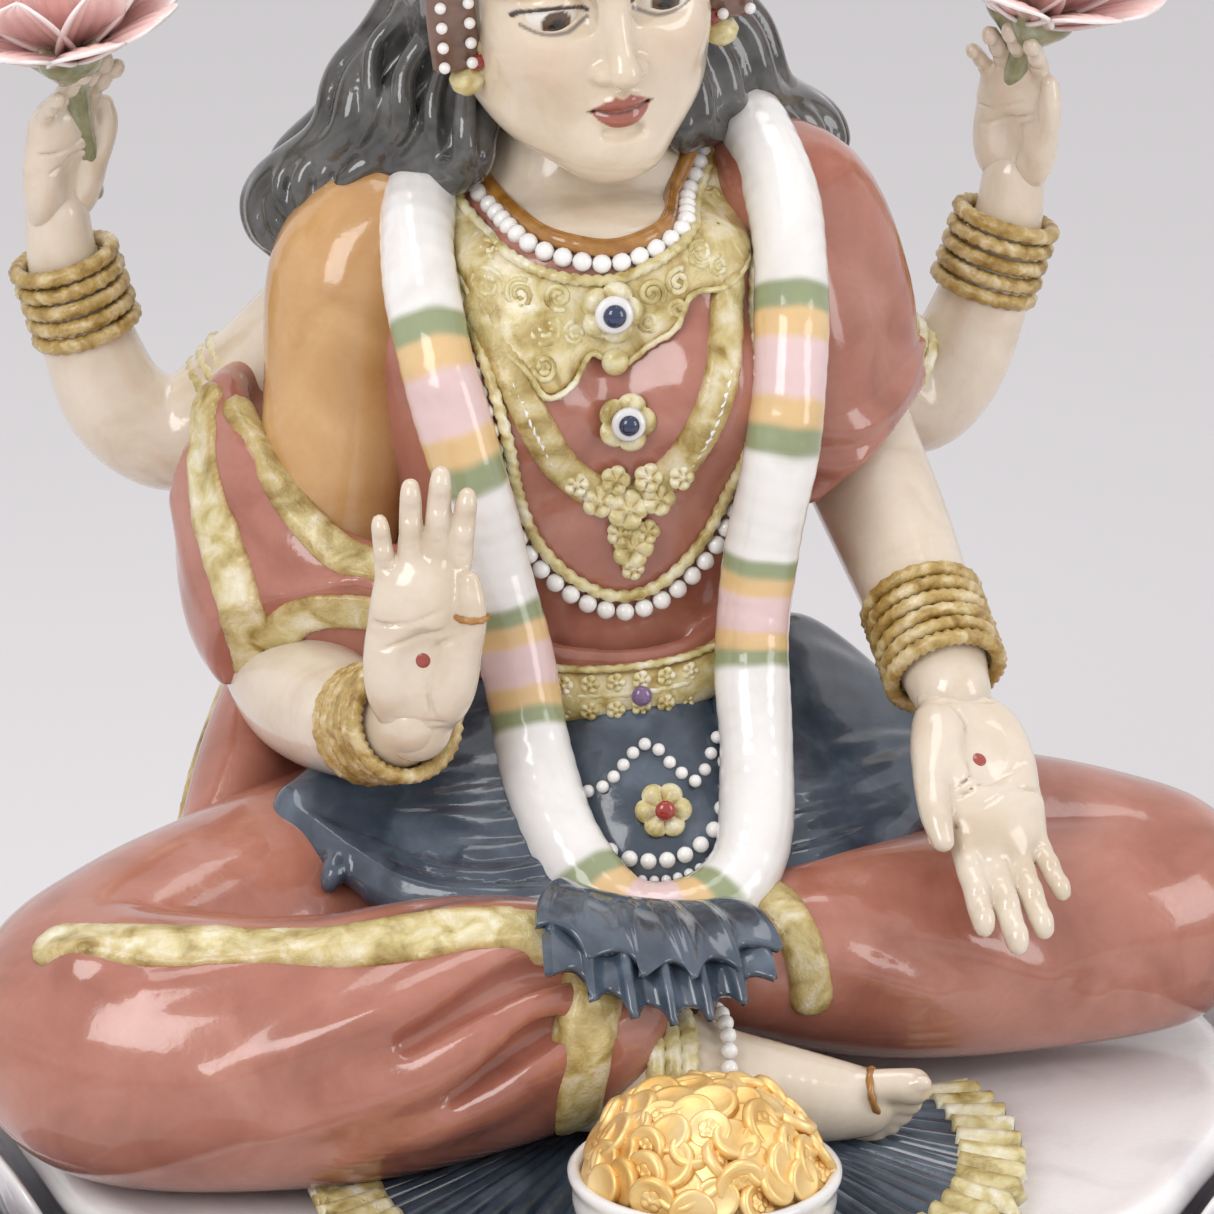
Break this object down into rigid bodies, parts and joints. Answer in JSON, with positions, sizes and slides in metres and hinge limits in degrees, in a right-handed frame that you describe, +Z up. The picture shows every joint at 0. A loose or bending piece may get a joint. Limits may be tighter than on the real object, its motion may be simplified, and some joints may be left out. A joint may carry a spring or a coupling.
{
  "type": "hindu deity figurine",
  "caption": "Glazed porcelain figurine of a seated deity with raised and lowered front hands, rear hands holding lotus flowers, a heaped coin pot and a round lotus seat",
  "frame": {"origin": "centre of the flat underside of the lotus seat", "axes": "+Z up, she faces -Y, her right side is -X"},
  "size_m": [0.237, 0.237, 0.3136],
  "materials": {
    "white_glaze": "gloss",
    "pink_glaze": "gloss",
    "sage_glaze": "gloss",
    "skin_glaze": "gloss",
    "terracotta_glaze": "gloss",
    "ochre_glaze": "gloss",
    "blue_glaze": "gloss",
    "olive_gold_glaze": "satin",
    "hair_glaze": "gloss",
    "garland_glaze": "gloss",
    "pearl_glaze": "gloss",
    "gem_glaze": "gloss",
    "gold_lustre": "satin"
  },
  "bodies": {
    "root": {"anklet_cuff": "gold_lustre", "anklet_pearls": "pearl_glaze", "apron": "blue_glaze", "armlets": "gold_lustre", "bangles_left": "gold_lustre", "bangles_rear_left": "gold_lustre", "bangles_rear_right": "gold_lustre", "bangles_right": "gold_lustre", "belt": "gold_lustre", "chain_pearls": "pearl_glaze", "choker_pearls": "pearl_glaze", "coin_heap": "gold_lustre", "coins": "gold_lustre", "collar": "gold_lustre", "crown": "gold_lustre", "ear_ornaments": "gold_lustre", "flower_drop": "gold_lustre", "garland": "garland_glaze", "gems": "gem_glaze", "hair": "hair_glaze", "head": "skin_glaze", "left_arm": "skin_glaze", "left_hand": "skin_glaze", "left_leg": "terracotta_glaze", "long_chain": "gold_lustre", "lotus_base": "white_glaze", "lotus_bud_left": "sage_glaze", "lotus_bud_right": "sage_glaze", "lotus_flower_left": "pink_glaze", "lotus_flower_right": "pink_glaze", "medallion": "gold_lustre", "necklace": "gold_lustre", "necklace_flowers": "gold_lustre", "pallu_left": "terracotta_glaze", "pendant_bead": "gold_lustre", "pendant_lower": "gold_lustre", "pendant_upper": "gold_lustre", "petals_lower": "white_glaze", "petals_upper": "white_glaze", "pot": "white_glaze", "rear_arm_left": "skin_glaze", "rear_arm_right": "skin_glaze", "rear_hand_left": "skin_glaze", "rear_hand_right": "skin_glaze", "right_foot": "skin_glaze", "right_forearm": "skin_glaze", "right_hand": "skin_glaze", "right_leg": "terracotta_glaze", "right_sleeve": "ochre_glaze", "ruffle": "blue_glaze", "sash_left": "blue_glaze", "sash_right": "blue_glaze", "shawl_right": "terracotta_glaze", "shawl_tail": "terracotta_glaze", "skirt_fan": "blue_glaze", "skirt_fan_trim": "olive_gold_glaze", "skirt_pearls": "pearl_glaze", "torque": "gold_lustre", "torso": "terracotta_glaze"}
  },
  "joints": []
}
